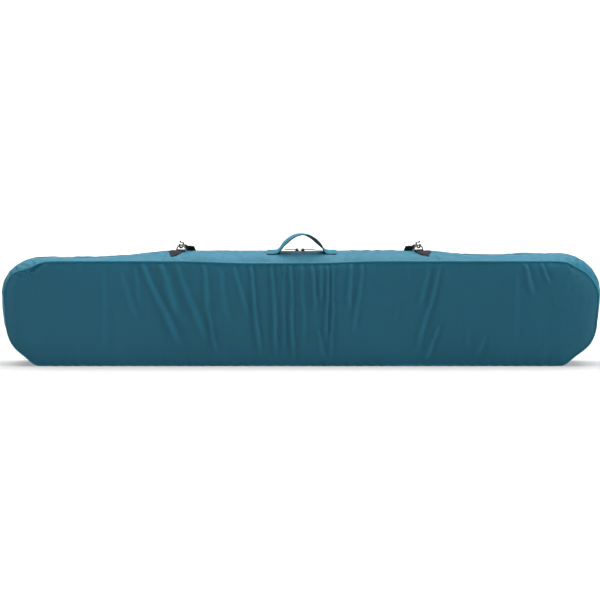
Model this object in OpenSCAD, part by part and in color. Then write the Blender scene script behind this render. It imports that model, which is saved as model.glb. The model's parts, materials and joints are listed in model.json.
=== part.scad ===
// Padded snowboard bag that stands on its long bottom edge.
// X runs along the bag, the plain back panel faces -Y, +Z is up, and the origin is the middle of the base.

/* [Bag] */
// Height of the flat panels
panel_h = 277; // [260:1:300]
// Half the straight top edge, between the two top corners
top_half = 706; // [690:1:716]
// Depth over both piped edges
bag_depth = 130; // [120:1:150]
// Height of the zip line above the panels, along the middle
crest_rise = 25; // [14:1:30]
// Height of the zip line above the panels, at the ends
end_rise = 14; // [8:1:16]
// How far each half of the gusset puffs out beside the zip
puff = 4.5; // [2:0.5:6]

/* [Layers] */
// Thickness of the bound gusset cloth
gusset_t = 2.5; // [2:0.1:3]
// Thickness of the outer panel cloth
cloth_t = 1.5; // [1:0.1:2]
// Thickness of the foam sheets
foam_t = 6; // [4:0.5:8]
// Thickness of the lining
lining_t = 1; // [0.8:0.1:1.5]
// Thickness of the piped seam edge
piping_t = 3; // [2:0.5:4]
// Width of the piped seam edge
piping_w = 4; // [3:0.5:6]

/* [Zip] */
// Distance from the zip line to the outer edge of one tape
tape_w = 12; // [10:1:14]
// Distance from the zip line to the outer edge of one coil
coil_w = 3; // [2.5:0.5:4]
// Distance from the middle of the bag to each slider
slider_x = 7.5; // [7:0.5:12]
// Length of a pull tab
pull_len = 34; // [24:1:40]

/* [Handle] */
// Outer radius of the handle's arch
handle_r = 61; // [56:1:66]
// Width of the handle webbing
handle_w = 30; // [25:1:34]
// Middle of the handle along the bag
handle_x = 5; // [0:1:10]

/* [Strap fittings] */
// Width of the strap webbing
strap_w = 25; // [20:1:26]
// Distance from the middle of the bag to each D-ring
ring_x = 319; // [300:1:326]
// Radius of the D-ring wire
wire_r = 1.8; // [1.5:0.1:2.2]
// Turn of the strap fittings away from the bag's length
fitting_turn = 60; // [40:1:66]

/* [Hidden] */
$fn = 32;
gap = 0.3;
half_depth = bag_depth / 2;
face_y = half_depth - piping_t;
gusset_y = face_y - cloth_t;
lining_y = gusset_y - foam_t - lining_t;
inner_inset = gusset_t + 1;
zip_z = panel_h + crest_rise;
upper_r = 80;
lower_corner = [[690, 45], 45];
side_corner = [[670, 115.6], 110];
upper_corner = [[top_half, panel_h - upper_r], upper_r];
top_steps = 20;
seam_steps = 10;
zip_start = 2;
handle_y = -23;
foot_z = zip_z + 2.8;
foot_t = 2.4;
arch_z = zip_z - 10;
ring_y = -17;
bar_z = zip_z + 5.5;
ring_r = strap_w / 2 + wire_r;
hook_z = bar_z + ring_r;
hook_dip = 8;
// Route of the shoulder strap from the left hook to the lowest point, as [x, y, z]; the right half mirrors it.
strap_left = [
    [-299, 17.5, 315.5], [-297, 26, 311.5], [-296, 37, 305.5], [-295, 49.5, 298], [-293, 62, 289],
    [-288, 70, 273], [-273, 69, 242], [-253, 69, 208], [-231, 69, 173], [-208, 69, 139],
    [-183, 69, 107], [-135, 69, 61], [-106, 69, 45], [-72, 69, 35], [-36, 69, 30]
];

// ---- Outline of the panels, as points [x, z, outward normal x, outward normal z] ----

function arc(corner, from, to, steps) = [
    for (i = [0:steps])
        let (a = from + (to - from) * i / steps, c = corner[0], r = corner[1])
        [c[0] + r * cos(a), c[1] + r * sin(a), cos(a), sin(a)]
];
right_half = concat(
    arc(lower_corner, -90, -47, 3),
    arc(side_corner, -47, -5, 4),
    arc(upper_corner, -3, 90, 7),
    [for (k = [top_steps - 1:-1:0]) [top_half * k / top_steps, panel_h, 0, 1]]
);
half_n = len(right_half);
// From the left end of the base, over the top, to the right end of the base.
rim = concat(
    [for (p = right_half) [-p[0], p[1], -p[2], p[3]]],
    [for (k = [half_n - 2:-1:0]) right_half[k]]
);
rim_n = len(rim);
left_seam = half_n - 1 - seam_steps;
right_seam = half_n - 1 + seam_steps;

function smooth(t) = let (u = min(1, max(0, t))) u * u * (3 - 2 * u);
// How far the zip line stands off the panel outline at a rim point.
function rise(p) = (end_rise + (crest_rise - end_rise) * smooth((520 - abs(p[0])) / 120))
    * smooth(p[1] / 150);
// How far the gusset stands off the panel outline at depth y.
function swell(p, y) = let (v = 1 - abs(y) / gusset_y, fade = smooth(p[1] / 150))
    rise(p) * (1 - (1 - v) * (1 - v)) + puff * fade * sin(180 * v);
function skin(p, y, depth) = let (d = swell(p, y) - depth) [p[0] + p[2] * d, y, p[1] + p[3] * d];
function top_z(y) = skin([0, panel_h, 0, 1], y, 0)[2];

// ---- Shared shapes ----

// Closed solid through rings of points. The first half of a ring is its outer side, the second half runs
// back along its inner side, and the two end caps join them pair by pair.
module loft(rings) {
    n = len(rings);
    m = len(rings[0]);
    polyhedron(
        points = [for (ring = rings) each ring],
        faces = [
            for (j = [0:m / 2 - 2])
                each [[j, j + 1, m - 2 - j], [j, m - 2 - j, m - 1 - j]],
            for (j = [0:m / 2 - 2], last = [(n - 1) * m])
                each [
                    [last + j, last + m - 2 - j, last + j + 1],
                    [last + j, last + m - 1 - j, last + m - 2 - j]
                ],
            for (i = [0:n - 2], j = [0:m - 1])
                let (a = i * m + j, b = i * m + (j + 1) % m)
                each j < m / 2 ? [[a, a + m, b], [b, a + m, b + m]] : [[a, a + m, b + m], [a, b + m, b]]
        ]
    );
}

// Band of the gusset between two rim points, two depths and two heights below the skin.
module band(first, last, y0, y1, outer, inner, steps) {
    loft([
        for (i = [first:last]) concat(
            [for (j = [0:steps]) skin(rim[i], y0 + (y1 - y0) * j / steps, outer)],
            [for (j = [steps:-1:0]) skin(rim[i], y0 + (y1 - y0) * j / steps, inner)]
        )
    ]);
}

module outline(inset) {
    polygon([for (p = rim) [p[0] - p[2] * inset, max(p[1] - p[3] * inset, inset)]]);
}

// Flat sheet of the panel's shape from depth y, thick towards +Y.
module sheet(y, thick, inset) {
    translate([0, y + thick, 0])
        rotate([90, 0, 0])
            linear_extrude(thick)
                outline(inset);
}

module piping(y) {
    difference() {
        sheet(y, piping_t, 0);
        sheet(y - 1, piping_t + 2, piping_w);
    }
}

// ---- Back half ----

module back_panel() {
    color("#285a6c") sheet(-face_y, cloth_t, 0);
}

module back_padding() {
    color("#d8d8d4") sheet(-gusset_y, foam_t, inner_inset);
}

module back_lining() {
    color("#30383c") sheet(-lining_y - lining_t, lining_t, inner_inset);
}

module back_piping() {
    color("#3f7f96") piping(-half_depth);
}

module rear_gusset(first, last) {
    band(first, last, -gusset_y, -tape_w, 0, gusset_t, 4);
}

module gusset_top_rear() {
    color("#5c9db2") rear_gusset(left_seam, right_seam);
}

module gusset_left_rear() {
    color("#5c9db2") rear_gusset(0, left_seam);
}

module gusset_right_rear() {
    color("#5c9db2") rear_gusset(right_seam, rim_n - 1);
}

module gusset_bottom() {
    base_half = lower_corner[0][0] - 2 * gap;
    color("#4a8ba2")
        translate([-base_half, -gusset_y, 0])
            cube([2 * base_half, 2 * gusset_y - 2 * gap, gusset_t]);
}

module zip_tape_rear() {
    color("#27566a") band(zip_start, rim_n - 1 - zip_start, -tape_w, -coil_w, 0.5, 1.7, 1);
}

module zip_coil_rear() {
    color("#17191c") band(zip_start, rim_n - 1 - zip_start, -coil_w, -gap, -1.2, 1.7, 1);
}

module zip_ends_rear() {
    color("#5c9db2") {
        band(0, zip_start, -tape_w, -gap, 0, gusset_t, 1);
        band(rim_n - 1 - zip_start, rim_n - 1, -tape_w, -gap, 0, gusset_t, 1);
    }
}

module zip_stops() {
    color("#17191c") {
        band(3, 4, -coil_w, -gap - 0.2, -3, -1.25, 1);
        band(rim_n - 5, rim_n - 4, -coil_w, -gap - 0.2, -3, -1.25, 1);
    }
}

module handle_foot(side) {
    color("#4f93aa")
        translate([handle_x + side * (handle_r + 8) - 17, handle_y - handle_w / 2, foot_z])
            cube([34, handle_w, foot_t]);
}

module handle_foot_left() {
    handle_foot(-1);
}

module handle_foot_right() {
    handle_foot(1);
}

// ---- Strap fittings: drawn for the left side, pointing along the hook, with the D-ring's bar at the origin ----

module fitting(side) {
    mirror([side > 0 ? 1 : 0, 0, 0])
        translate([-ring_x, ring_y, bar_z])
            rotate([0, 0, fitting_turn])
                children();
}

// Place of the hook: on top of the D-ring, tipped down over the crest.
module on_ring() {
    translate([0, 0, ring_r]) rotate([0, hook_dip, 0]) children();
}

// Point of the tab at distance s behind the ring, t to its side and lift above the gusset.
function tab_point(s, t, lift) =
    let (
        x = -ring_x - s * cos(fitting_turn) - t * sin(fitting_turn),
        y = ring_y - s * sin(fitting_turn) + t * cos(fitting_turn)
    ) [x, y, top_z(min(y, 0)) + lift];

module anchor_tab() {
    loft([
        for (s = [3, 8, 14, 20, 27])
            [
                tab_point(s, strap_w / 2, 3), tab_point(s, 0, 3), tab_point(s, -strap_w / 2, 3),
                tab_point(s, -strap_w / 2, 0.6), tab_point(s, 0, 0.6), tab_point(s, strap_w / 2, 0.6)
            ]
    ]);
}

module anchor_tab_left() {
    color("#1b1d20") anchor_tab();
}

module anchor_tab_right() {
    color("#1b1d20") mirror([1, 0, 0]) anchor_tab();
}

module d_ring(side) {
    color("#3a3d40") fitting(side) {
        rotate([90, 0, 0]) cylinder(r = wire_r, h = 2 * ring_r, center = true);
        rotate([0, 0, 90]) rotate([90, 0, 0])
            rotate_extrude(angle = 180) translate([ring_r, 0]) circle(r = wire_r);
        for (end = [-1, 1])
            translate([0, end * ring_r, 0]) sphere(r = wire_r);
    }
}

module d_ring_left() {
    d_ring(-1);
}

module d_ring_right() {
    d_ring(1);
}

module snap_hook(side) {
    color("#1d1f22") fitting(side) on_ring() {
        difference() {
            rotate([90, 0, 0]) cylinder(r = 9, h = 5, center = true);
            rotate([90, 0, 0]) cylinder(r = 6, h = 7, center = true);
            translate([-7, -4, 2]) cube([15, 8, 8]);
        }
        translate([8, -2.5, -3]) cube([13, 5, 6]);
        translate([8.6, -2.5, 3]) cube([2.8, 5, 2.4]);
        translate([19, 0, 0]) rotate([0, 90, 0]) cylinder(r = 4, h = 4);
    }
}

module snap_hook_left() {
    snap_hook(-1);
}

module snap_hook_right() {
    snap_hook(1);
}

module hook_gate(side) {
    color("#2c2f33") fitting(side) on_ring() {
        translate([10, 0, 7.2]) rotate([90, 0, 0]) cylinder(r = 1.5, h = 4, center = true);
        translate([-6.2, -2, 6.2]) cube([16, 4, 2]);
        translate([-6.2, -2, 8.2]) cube([3.2, 4, 3]);
    }
}

module hook_gate_left() {
    hook_gate(-1);
}

module hook_gate_right() {
    hook_gate(1);
}

module hook_eye(side) {
    color("#1d1f22") fitting(side) on_ring() {
        translate([23.3, 0, 0]) rotate([0, 90, 0]) cylinder(r = 2.6, h = 3.2);
        difference() {
            translate([26, -strap_w / 2 - 3.5, -1.75]) cube([10, strap_w + 7, 3.5]);
            translate([29, -strap_w / 2 - 0.5, -3]) cube([4, strap_w + 1, 6]);
        }
    }
}

module hook_eye_left() {
    hook_eye(-1);
}

module hook_eye_right() {
    hook_eye(1);
}

// ---- Front half ----

module front_panel() {
    color("#2f6d82") sheet(gusset_y, cloth_t, 0);
}

module front_padding() {
    color("#d8d8d4") sheet(gusset_y - foam_t, foam_t, inner_inset);
}

module front_lining() {
    color("#30383c") sheet(lining_y, lining_t, inner_inset);
}

module front_piping() {
    color("#3f7f96") piping(face_y);
}

module front_gusset(first, last) {
    band(first, last, tape_w, gusset_y, 0, gusset_t, 4);
}

module gusset_top_front() {
    color("#5c9db2") front_gusset(left_seam, right_seam);
}

module gusset_left_front() {
    color("#5c9db2") front_gusset(0, left_seam);
}

module gusset_right_front() {
    color("#5c9db2") front_gusset(right_seam, rim_n - 1);
}

module zip_tape_front() {
    color("#27566a") band(zip_start, rim_n - 1 - zip_start, coil_w, tape_w, 0.5, 1.7, 1);
}

module zip_coil_front() {
    color("#17191c") band(zip_start, rim_n - 1 - zip_start, gap, coil_w, -1.2, 1.7, 1);
}

module zip_ends_front() {
    color("#5c9db2") {
        band(0, zip_start, gap, tape_w, 0, gusset_t, 1);
        band(rim_n - 1 - zip_start, rim_n - 1, gap, tape_w, 0, gusset_t, 1);
    }
}

// ---- Shoulder strap ----

strap_t = 2;
strap_route = concat(
    strap_left,
    [[0, 69, 28]],
    [for (k = [len(strap_left) - 1:-1:0]) [-strap_left[k][0], strap_left[k][1], strap_left[k][2]]]
);
strap_last = len(strap_route) - 1;
function unit(v) = v / norm(v);
// Outward face of the strap: up at the hooks, towards +Y on the panel.
function strap_face(k) = let (t = smooth((316 - strap_route[k][2]) / 46)) unit([0, t, 1.001 - t]);
function strap_ring(k) =
    let (
        p = strap_route[k],
        along = unit(strap_route[min(k + 1, strap_last)] - strap_route[max(k - 1, 0)]),
        across = unit(cross(strap_face(k), along)) * strap_w / 2,
        up = unit(cross(along, across)) * strap_t / 2
    ) [p + across + up, p + across - up, p - across - up, p - across + up];

module shoulder_strap() {
    color("#1b1d20") loft([for (k = [0:strap_last]) strap_ring(k)]);
}

// The adjuster sits on the long straight stretch between two points of the route.
adjuster_at = 10;
module strap_adjuster() {
    from = strap_route[adjuster_at];
    to = strap_route[adjuster_at + 1];
    turn = atan2(to[2] - from[2], to[0] - from[0]);
    color("#17191c")
        translate((from + to) / 2)
            rotate([0, -turn, 0])
                difference() {
                    cube([20, 9, strap_w + 9], center = true);
                    cube([22, strap_t + 2.4, strap_w + 4], center = true);
                }
}

// ---- Grab handle ----

module arch(outer, inner) {
    difference() {
        translate([handle_x, handle_y, arch_z]) rotate([90, 0, 0])
            difference() {
                cylinder(r = outer, h = handle_w, center = true, $fn = 64);
                cylinder(r = inner, h = handle_w + 2, center = true, $fn = 64);
            }
        translate([handle_x - 100, handle_y - 50, arch_z - 100])
            cube([200, 100, 100 + foot_z + foot_t + 0.8 - arch_z]);
    }
}

module handle_cover() {
    color("#4f93aa") arch(handle_r, handle_r - 1.5);
}

module handle_webbing() {
    color("#1b1d20") arch(handle_r - 1.5, handle_r - 4);
}

// ---- Zip sliders and pull tabs, drawn for the left side ----

slider_z = zip_z + 2.6;
bridge_z = slider_z + 4.4;

module slider(side) {
    color("#24262a") translate([side * slider_x, 0, slider_z]) {
        translate([-5.5, -5, 0]) cube([11, 10, 2.4]);
        translate([-3.5, -2, 2.4]) cube([1.6, 4, 3.6]);
        translate([1.9, -2, 2.4]) cube([1.6, 4, 3.6]);
        translate([-3.5, -2, 6]) cube([7, 4, 1.4]);
    }
}

module slider_left() {
    slider(-1);
}

module slider_right() {
    slider(1);
}

// The tab's loop goes round behind the bridge and its blade lies along the zip.
module pull(side) {
    color("#24262a") translate([side * slider_x, 0, bridge_z]) mirror([side > 0 ? 1 : 0, 0, 0]) {
        rotate([90, 0, 0]) cylinder(r = 1, h = 8, center = true);
        for (end = [-1, 1])
            translate([-9, end * 3.25 - 0.75, -1]) cube([9, 1.5, 2]);
        translate([-pull_len, -4, -1]) cube([pull_len - 9, 8, 2]);
    }
}

module pull_left() {
    pull(-1);
}

module pull_right() {
    pull(1);
}

back_panel();
back_padding();
back_lining();
back_piping();
gusset_top_rear();
gusset_left_rear();
gusset_right_rear();
gusset_bottom();
zip_tape_rear();
zip_coil_rear();
zip_ends_rear();
zip_stops();
handle_foot_left();
handle_foot_right();
anchor_tab_left();
anchor_tab_right();
front_panel();
front_padding();
front_lining();
front_piping();
gusset_top_front();
gusset_left_front();
gusset_right_front();
zip_tape_front();
zip_coil_front();
zip_ends_front();
shoulder_strap();
strap_adjuster();
handle_webbing();
handle_cover();
slider_left();
slider_right();
pull_left();
pull_right();
d_ring_left();
d_ring_right();
snap_hook_left();
snap_hook_right();
hook_gate_left();
hook_gate_right();
hook_eye_left();
hook_eye_right();
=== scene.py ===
# %% [markdown]
# A snowboard bag is a long flat case of coated cloth. Two padded panels face each other, and a band of cloth,
# called the gusset, joins their edges. A long zip splits the gusset along its crest, so one panel folds down.
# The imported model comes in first. It is the fixed frame, and each cloth piece below hangs on one of its
# bodies.

# %% The frame
import json

import bpy
import numpy as np
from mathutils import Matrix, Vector


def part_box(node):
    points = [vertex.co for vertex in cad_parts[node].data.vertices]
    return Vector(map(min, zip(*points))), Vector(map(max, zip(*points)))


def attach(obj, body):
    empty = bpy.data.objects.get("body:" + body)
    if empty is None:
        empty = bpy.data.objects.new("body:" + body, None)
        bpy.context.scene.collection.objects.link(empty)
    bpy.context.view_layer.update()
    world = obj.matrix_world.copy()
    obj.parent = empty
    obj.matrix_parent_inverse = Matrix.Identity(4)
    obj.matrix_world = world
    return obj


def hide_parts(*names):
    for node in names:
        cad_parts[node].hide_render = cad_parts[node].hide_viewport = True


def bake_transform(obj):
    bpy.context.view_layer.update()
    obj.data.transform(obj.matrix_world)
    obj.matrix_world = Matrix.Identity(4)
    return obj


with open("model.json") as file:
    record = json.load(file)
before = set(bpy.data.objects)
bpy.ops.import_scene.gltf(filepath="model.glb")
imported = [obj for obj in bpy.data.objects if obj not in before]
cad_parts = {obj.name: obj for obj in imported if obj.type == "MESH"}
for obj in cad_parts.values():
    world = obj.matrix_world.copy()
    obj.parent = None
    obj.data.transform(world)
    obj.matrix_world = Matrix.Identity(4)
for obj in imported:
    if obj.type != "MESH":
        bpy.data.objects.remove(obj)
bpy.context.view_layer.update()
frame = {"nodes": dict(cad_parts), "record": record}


def box(node):
    """The lowest and highest corner of a node, as arrays."""
    low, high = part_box(node)
    return np.array(low), np.array(high)


# %% [markdown]
# Every size comes from the frame. The panel gives the length and height, the zip gives the crest, and the
# ends give how far the gusset bulges. Only the corner radii and the small relief of the cloth are chosen here.

# %% Sizes from the frame
panel_low, panel_high = box("back_panel")
HALF_LEN = panel_high[0]
PANEL_H = panel_high[2]
FACE_Y = -panel_low[1]
SEAM_Y = -panel_high[1]
TAPE_Y = -box("zip_tape_rear")[0][1]
COIL_Y = -box("zip_coil_rear")[0][1]
COIL_PROUD = 0.0012
CREST_RISE = box("zip_coil_rear")[1][2] - COIL_PROUD - PANEL_H
END_RISE = box("zip_coil_rear")[1][0] - COIL_PROUD - HALF_LEN
ZIP_Z = PANEL_H + CREST_RISE
PUFF = 0.0045
CLOTH = 0.0012
print("crest", round(CREST_RISE, 4), "end", round(END_RISE, 4), "half length", round(HALF_LEN, 4))

# %% [markdown]
# The camera looks square on at the plain back panel from slightly above, through a long lens, so the bag
# fills the width of the picture.

# %% The camera
VIEW_WIDTH = 1.602
VIEW_DISTANCE = 4.6
VIEW_TILT = np.radians(5.0)
AIM = Vector((0.0005, -FACE_Y, 0.1775))
camera_data = bpy.data.cameras.new("camera")
camera = bpy.data.objects.new("camera", camera_data)
camera_data.sensor_width = 36
camera_data.lens = camera_data.sensor_width * VIEW_DISTANCE / VIEW_WIDTH
camera_data.clip_end = 60
camera.location = AIM + VIEW_DISTANCE * Vector((0, -np.cos(VIEW_TILT), np.sin(VIEW_TILT)))
camera.rotation_euler = (np.pi / 2 - VIEW_TILT, 0, 0)
bpy.context.scene.collection.objects.link(camera)
bpy.context.scene.camera = camera
bpy.context.scene.view_settings.view_transform = "Standard"

# %% [markdown]
# The room is bright behind and above the bag and dim behind the camera, like a studio with a white backdrop.
# One wide lamp hangs overhead, so that the crest of the gusset is brighter than the upright panel, and the
# gusset's lighter colour paints in more of that light. A narrow lamp far to the right grazes the panel, which
# draws the folds. A small low one in front lightens its lower left.


# %% Light and floor
def lamp(name, place, aim, width, height, watts):
    """A rectangular lamp at place that points at aim."""
    data = bpy.data.lights.new(name, "AREA")
    data.shape = "RECTANGLE"
    data.size = width
    data.size_y = height
    data.energy = watts
    light = bpy.data.objects.new(name, data)
    light.location = place
    light.rotation_euler = (Vector(aim) - Vector(place)).to_track_quat("-Z", "Y").to_euler()
    bpy.context.scene.collection.objects.link(light)


world = bpy.data.worlds.new("room")
bpy.context.scene.world = world
world.use_nodes = True
sky = world.node_tree
direction = sky.nodes.new("ShaderNodeTexCoord")
backward = sky.nodes.new("ShaderNodeVectorMath")
backward.operation = "DOT_PRODUCT"
backward.inputs[1].default_value = (0, 1, 0.65)
glow = sky.nodes.new("ShaderNodeMapRange")
glow.inputs["From Min"].default_value = -0.05
glow.inputs["From Max"].default_value = 0.7
glow.inputs["To Min"].default_value = 0.22
glow.inputs["To Max"].default_value = 1.1
sky.links.new(direction.outputs["Generated"], backward.inputs[0])
sky.links.new(backward.outputs["Value"], glow.inputs["Value"])
sky.links.new(glow.outputs["Result"], sky.nodes["Background"].inputs["Strength"])
sky.nodes["Background"].inputs["Color"].default_value = (0.985, 0.992, 1, 1)
lamp("overhead", (0, 0.35, 3.4), (0, 0, 0.2), 5, 2.2, 300)
lamp("left_front", (-0.8, -2.0, 0.25), (-0.5, 0, 0.05), 0.5, 0.4, 8)
lamp("right_side", (3.6, -1.1, 0.9), (0, 0, 0.15), 0.4, 1.2, 55)

# %% [markdown]
# A grid of points is the simplest way to build cloth: one number runs along the piece and one runs across it,
# and the shape is a formula of the two. The helpers below turn such a grid into a closed mesh. A loop over
# vertices would be slow, so all of them work on whole arrays.


# %% Mesh helpers
def unit(v):
    """Vectors scaled to length one, along the last axis."""
    return v / np.maximum(np.linalg.norm(v, axis=-1, keepdims=True), 1e-12)


def points_at(x, y, z):
    """Points from their coordinates, each a number or an array that fits the others."""
    return np.stack(np.broadcast_arrays(x, y, z), axis=-1)


def ease(t):
    """A smooth step from 0 to 1: three t squared minus two t cubed, held at its ends."""
    t = np.clip(t, 0, 1)
    return t * t * (3 - 2 * t)


def volume(points, quads):
    """Signed volume inside a closed mesh of quads, positive when the faces point outwards."""
    a, b, c, d = (points[quads[:, k]] for k in range(4))
    return (np.cross(a, b) * c).sum() + (np.cross(a, c) * d).sum()


def add_mesh(name, points, quads, uv=None):
    """Puts points and quads into a new smooth-shaded object, turned outwards, with uv in metres."""
    if volume(points, quads) < 0:
        quads = quads[:, ::-1]
    mesh = bpy.data.meshes.new(name)
    mesh.from_pydata(points.tolist(), [], quads.tolist())
    if uv is not None:
        loops = np.empty(len(mesh.loops), dtype=np.int32)
        mesh.loops.foreach_get("vertex_index", loops)
        mesh.uv_layers.new(name="cloth").data.foreach_set("uv", uv[loops].ravel())
    mesh.shade_smooth()
    piece = bpy.data.objects.new(name, mesh)
    bpy.context.scene.collection.objects.link(piece)
    return piece


def grid_quads(rows, columns, close_rows=False, close_columns=False):
    """Corner numbers of the quads of a grid, whose ends may be joined up in either direction."""
    i = np.arange(rows if close_rows else rows - 1)[:, None]
    j = np.arange(columns if close_columns else columns - 1)[None, :]
    i2, j2 = (i + 1) % rows, (j + 1) % columns
    corners = [i * columns + j, i2 * columns + j, i2 * columns + j2, i * columns + j2]
    return np.stack([c.ravel() for c in corners], axis=1)


def grid_normals(grid):
    """Cross product of the two grid directions at each point."""
    return unit(np.cross(np.gradient(grid, axis=0), np.gradient(grid, axis=1)))


def cloth(name, grid, thick, side=1):
    """A closed sheet: the grid, a copy moved by thick against its normal, and a rim that joins the two.
    side is -1 where the grid's own normal points into the bag."""
    rows, columns = grid.shape[:2]
    inner = grid - side * thick * grid_normals(grid)
    count = rows * columns
    outer_quads = grid_quads(rows, columns)
    number = np.arange(count).reshape(rows, columns)
    edge = np.concatenate([number[0], number[1:, -1], number[-1, -2::-1], number[-2:0:-1, 0]])
    following = np.roll(edge, -1)
    rim_quads = np.stack([following, edge, edge + count, following + count], axis=1)
    along = np.linalg.norm(np.diff(grid, axis=0), axis=-1).mean(axis=1).cumsum()
    across = np.linalg.norm(np.diff(grid, axis=1), axis=-1).mean(axis=0).cumsum()
    u, v = np.meshgrid(np.r_[0, along], np.r_[0, across], indexing="ij")
    uv = np.stack([u.ravel(), v.ravel()], axis=1)
    points = np.concatenate([grid.reshape(-1, 3), inner.reshape(-1, 3)])
    quads = np.concatenate([outer_quads, outer_quads[:, ::-1] + count, rim_quads])
    return add_mesh(name, points, quads, np.concatenate([uv, uv]))


def capped(rings):
    """An open tube with one more ring at each end, shrunk almost to a point."""
    shrink = 1e-3
    first, last = rings[0].mean(axis=0), rings[-1].mean(axis=0)
    start = first + (rings[0] - first) * shrink
    finish = last + (rings[-1] - last) * shrink
    return np.concatenate([start[None], rings, finish[None]])


def sweep(name, path, across, up, profile, closed=False):
    """Carries a closed profile, points (across, up), along a path. The ends of an open one are capped."""
    rings = path[:, None] + across[:, None] * profile[None, :, :1] + up[:, None] * profile[None, :, 1:]
    if not closed:
        rings = capped(rings)
    rows, columns = rings.shape[:2]
    steps = np.linalg.norm(np.diff(rings.mean(axis=1), axis=0), axis=-1).cumsum()
    u, v = np.meshgrid(np.r_[0, steps], profile[:, 0], indexing="ij")
    uv = np.stack([u.ravel(), v.ravel()], axis=1)
    return add_mesh(name, rings.reshape(-1, 3), grid_quads(rows, columns, closed, True), uv)


def ellipse(width, height, count, power=2.0):
    """Profile of a superellipse: a power above 2 squares its corners, as on webbing."""
    a = np.linspace(0, 2 * np.pi, count, endpoint=False)
    turn = np.stack([np.cos(a), np.sin(a)], axis=1)
    return np.array([width / 2, height / 2]) * np.sign(turn) * np.abs(turn) ** (2 / power)


def repeat(name, rings, origins, x_axes, y_axes, z_axes):
    """Sets one small closed tube, an array of rings, at every origin, along that origin's own three axes."""
    shape = rings.reshape(-1, 3)
    quads = grid_quads(*rings.shape[:2], False, True)
    points = origins[:, None] + 0.0
    for k, axes in enumerate((x_axes, y_axes, z_axes)):
        points = points + shape[None, :, k : k + 1] * axes[:, None]
    offsets = np.arange(len(origins))[:, None, None] * len(shape)
    return add_mesh(name, points.reshape(-1, 3), (quads[None] + offsets).reshape(-1, 4))


def ripples(a, b, seed, size, count=12):
    """Smooth random relief, about -1 to 1: sine waves that cross the plane (a, b) in random directions."""
    rng = np.random.default_rng(seed)
    total = np.zeros(np.broadcast(a, b).shape)
    turns = rng.uniform(0, 2 * np.pi, count)
    rates = rng.uniform(0.6, 1.7, count)
    phases = rng.uniform(0, 2 * np.pi, count)
    for turn, rate, phase in zip(turns, rates, phases):
        total += np.sin((a * np.cos(turn) + b * np.sin(turn)) * rate * 2 * np.pi / size + phase)
    return total / np.sqrt(count)


def pick(grid, u, v):
    """Values of a grid at shares u and v, from 0 to 1, of its two directions."""
    i, j = u * (grid.shape[0] - 1), v * (grid.shape[1] - 1)
    i0 = np.clip(i.astype(int), 0, grid.shape[0] - 2)
    j0 = np.clip(j.astype(int), 0, grid.shape[1] - 2)
    a, b = (i - i0)[:, None], (j - j0)[:, None]
    near = (1 - b) * grid[i0, j0] + b * grid[i0, j0 + 1]
    far = (1 - b) * grid[i0 + 1, j0] + b * grid[i0 + 1, j0 + 1]
    return (1 - a) * near + a * far


def along_line(at, far, values):
    """Rows of values read off at given distances, where far is each row's own distance."""
    return np.stack([np.interp(at, far, column) for column in values.T], axis=1)


def even(points, step):
    """The same line cut into equal steps."""
    far = np.r_[0, np.linalg.norm(np.diff(points, axis=0), axis=1).cumsum()]
    return along_line(np.linspace(0, far[-1], int(far[-1] / step) + 1), far, points)


def relaxed(values, width):
    """A running mean that holds the two ends, to take the kinks out of a direction."""
    kernel = np.ones(width) / width
    padded = np.pad(values, ((width // 2, width // 2), (0, 0)), mode="edge")
    return np.stack([np.convolve(padded[:, k], kernel, "valid") for k in range(values.shape[1])], axis=1)


# %% [markdown]
# A material is a graph of nodes. Writing the graph as sums keeps it short: a small class wraps one socket, and
# its operators add Math nodes. Every other node comes from one method of the finish that owns it.


# %% Shader helpers
class Value:
    """One output socket of a finish; arithmetic on it adds Math nodes."""

    def __init__(self, finish, socket):
        self.finish = finish
        self.socket = socket

    def math(self, operation, first, second=None):
        """One Math node."""
        values = {0: first} if second is None else {0: first, 1: second}
        return self.finish.node("ShaderNodeMath", {"operation": operation}, values)

    def __add__(self, other):
        return self.math("ADD", self, other)

    def __sub__(self, other):
        return self.math("SUBTRACT", self, other)

    def __rsub__(self, other):
        return self.math("SUBTRACT", other, self)

    def __mul__(self, other):
        return self.math("MULTIPLY", self, other)

    def sine(self):
        return self.math("SINE", self)

    __radd__ = __add__
    __rmul__ = __mul__


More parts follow.
